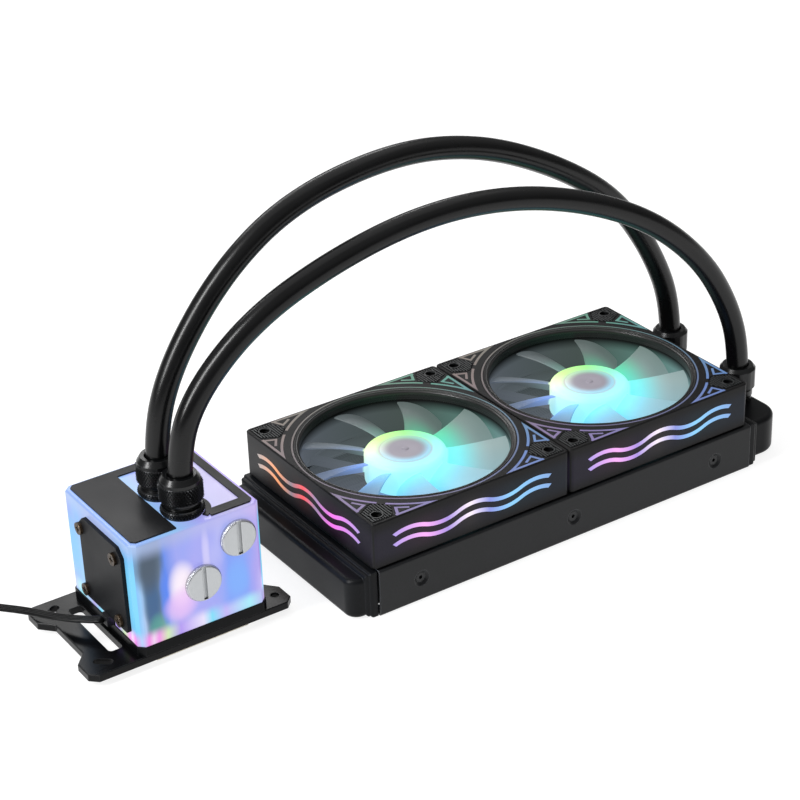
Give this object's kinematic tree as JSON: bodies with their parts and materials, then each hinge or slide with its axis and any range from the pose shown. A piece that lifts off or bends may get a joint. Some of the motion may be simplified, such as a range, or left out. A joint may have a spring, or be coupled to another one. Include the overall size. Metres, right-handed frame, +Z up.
{
  "type": "all in one cpu liquid cooler",
  "caption": "Closed-loop liquid cooler: a finned radiator under lit fans, joined by hoses to a square pump head with a frosted reservoir and mounting bracket.",
  "frame": {"origin": "on the supporting surface, at the centre of the radiator's fan pattern", "axes": "+X along the radiator towards its ported tank, +Y to the rear, +Z up through the fans"},
  "size_m": [0.5031, 0.2091, 0.2072],
  "materials": {
    "radiator_coat": "satin black powder coat on aluminium",
    "core_coat": "matt black spray coat on aluminium",
    "black_screw": "black oxide steel",
    "fan_moulding": "fine-grained dark moulding",
    "frosted_blade": "frosted translucent moulding",
    "bright_steel": "turned steel",
    "bearing_bronze": "sintered bronze",
    "stator_winding": "varnished copper winding",
    "pad_rubber": "matt rubber",
    "light_diffuser": "milky diffuser",
    "plated_copper": "fine-machined plated copper",
    "bracket_coat": "satin black coat on steel",
    "base_moulding": "semi-gloss moulding",
    "seal_rubber": "soft rubber",
    "circuit_board": "white circuit board",
    "frosted_acrylic": "clear acrylic, frosted inside",
    "cover_coat": "satin dark grey anodised plate",
    "bronze_screw": "dark bronze steel",
    "motor_moulding": "dark sealed moulding",
    "impeller_moulding": "white moulding",
    "satin_silver": "satin plate with a polished rim",
    "fitting_black": "satin black anodised, polished chamfer",
    "hose_rubber": "semi-gloss rubber",
    "cable_jacket": "ribbed flat cable jacket",
    "cable_tie_nylon": "hook-and-loop strap",
    "plug_moulding": "moulded connector"
  },
  "bodies": {
    "cooler": {"front_rail": "radiator_coat", "rear_rail": "radiator_coat", "rail_screws": "black_screw", "core_tubes": "core_coat", "cooling_fins": "core_coat", "left_header_plate": "core_coat", "right_header_plate": "core_coat", "left_tank": "radiator_coat", "right_tank": "radiator_coat", "tank_baffle": "core_coat", "left_fan_frame": "fan_moulding", "left_fan_bearing": "bearing_bronze", "left_fan_stator": "stator_winding", "left_fan_corner_pads": "pad_rubber", "left_fan_lower_pads": "pad_rubber", "left_fan_screws": "black_screw", "left_fan_top_lights": "light_diffuser", "left_fan_side_lights": "light_diffuser", "right_fan_frame": "fan_moulding", "right_fan_bearing": "bearing_bronze", "right_fan_stator": "stator_winding", "right_fan_corner_pads": "pad_rubber", "right_fan_lower_pads": "pad_rubber", "right_fan_screws": "black_screw", "right_fan_top_lights": "light_diffuser", "right_fan_side_lights": "light_diffuser", "cold_plate": "plated_copper", "cold_plate_screws": "bright_steel", "mounting_bracket": "bracket_coat", "base_plate": "base_moulding", "base_seal": "seal_rubber", "pump_light_board": "circuit_board", "reservoir_block": "frosted_acrylic", "top_plate": "cover_coat", "side_plate": "cover_coat", "side_plate_screws": "bronze_screw", "pump_motor": "motor_moulding", "pump_seal": "seal_rubber", "fill_plugs": "satin_silver", "pump_fitting_bases": "fitting_black", "pump_fitting_collars": "fitting_black", "radiator_fitting_bases": "fitting_black", "radiator_fitting_collars": "fitting_black", "front_hose": "hose_rubber", "rear_hose": "hose_rubber", "cable_gland": "seal_rubber", "pump_cable": "cable_jacket", "cable_coil": "cable_jacket", "cable_tie": "cable_tie_nylon", "cable_tail": "cable_jacket", "cable_plug": "plug_moulding"},
    "left_rotor": {"left_fan_rotor": "frosted_blade", "left_fan_magnet": "bright_steel", "left_fan_shaft": "bright_steel"},
    "right_rotor": {"right_fan_rotor": "frosted_blade", "right_fan_magnet": "bright_steel", "right_fan_shaft": "bright_steel"},
    "pump_rotor": {"impeller": "impeller_moulding"}
  },
  "joints": [
    {"name": "left_fan_spin", "type": "hinge", "parent": "cooler", "child": "left_rotor", "pos_m": [-0.0603, 0, 0.0397], "axis": [0, 0, 1], "continuous": true},
    {"name": "right_fan_spin", "type": "hinge", "parent": "cooler", "child": "right_rotor", "pos_m": [0.0603, 0, 0.0397], "axis": [0, 0, 1], "continuous": true},
    {"name": "impeller_spin", "type": "hinge", "parent": "cooler", "child": "pump_rotor", "pos_m": [-0.22, 0.0002, 0.0392], "axis": [1, 0, 0], "continuous": true}
  ]
}
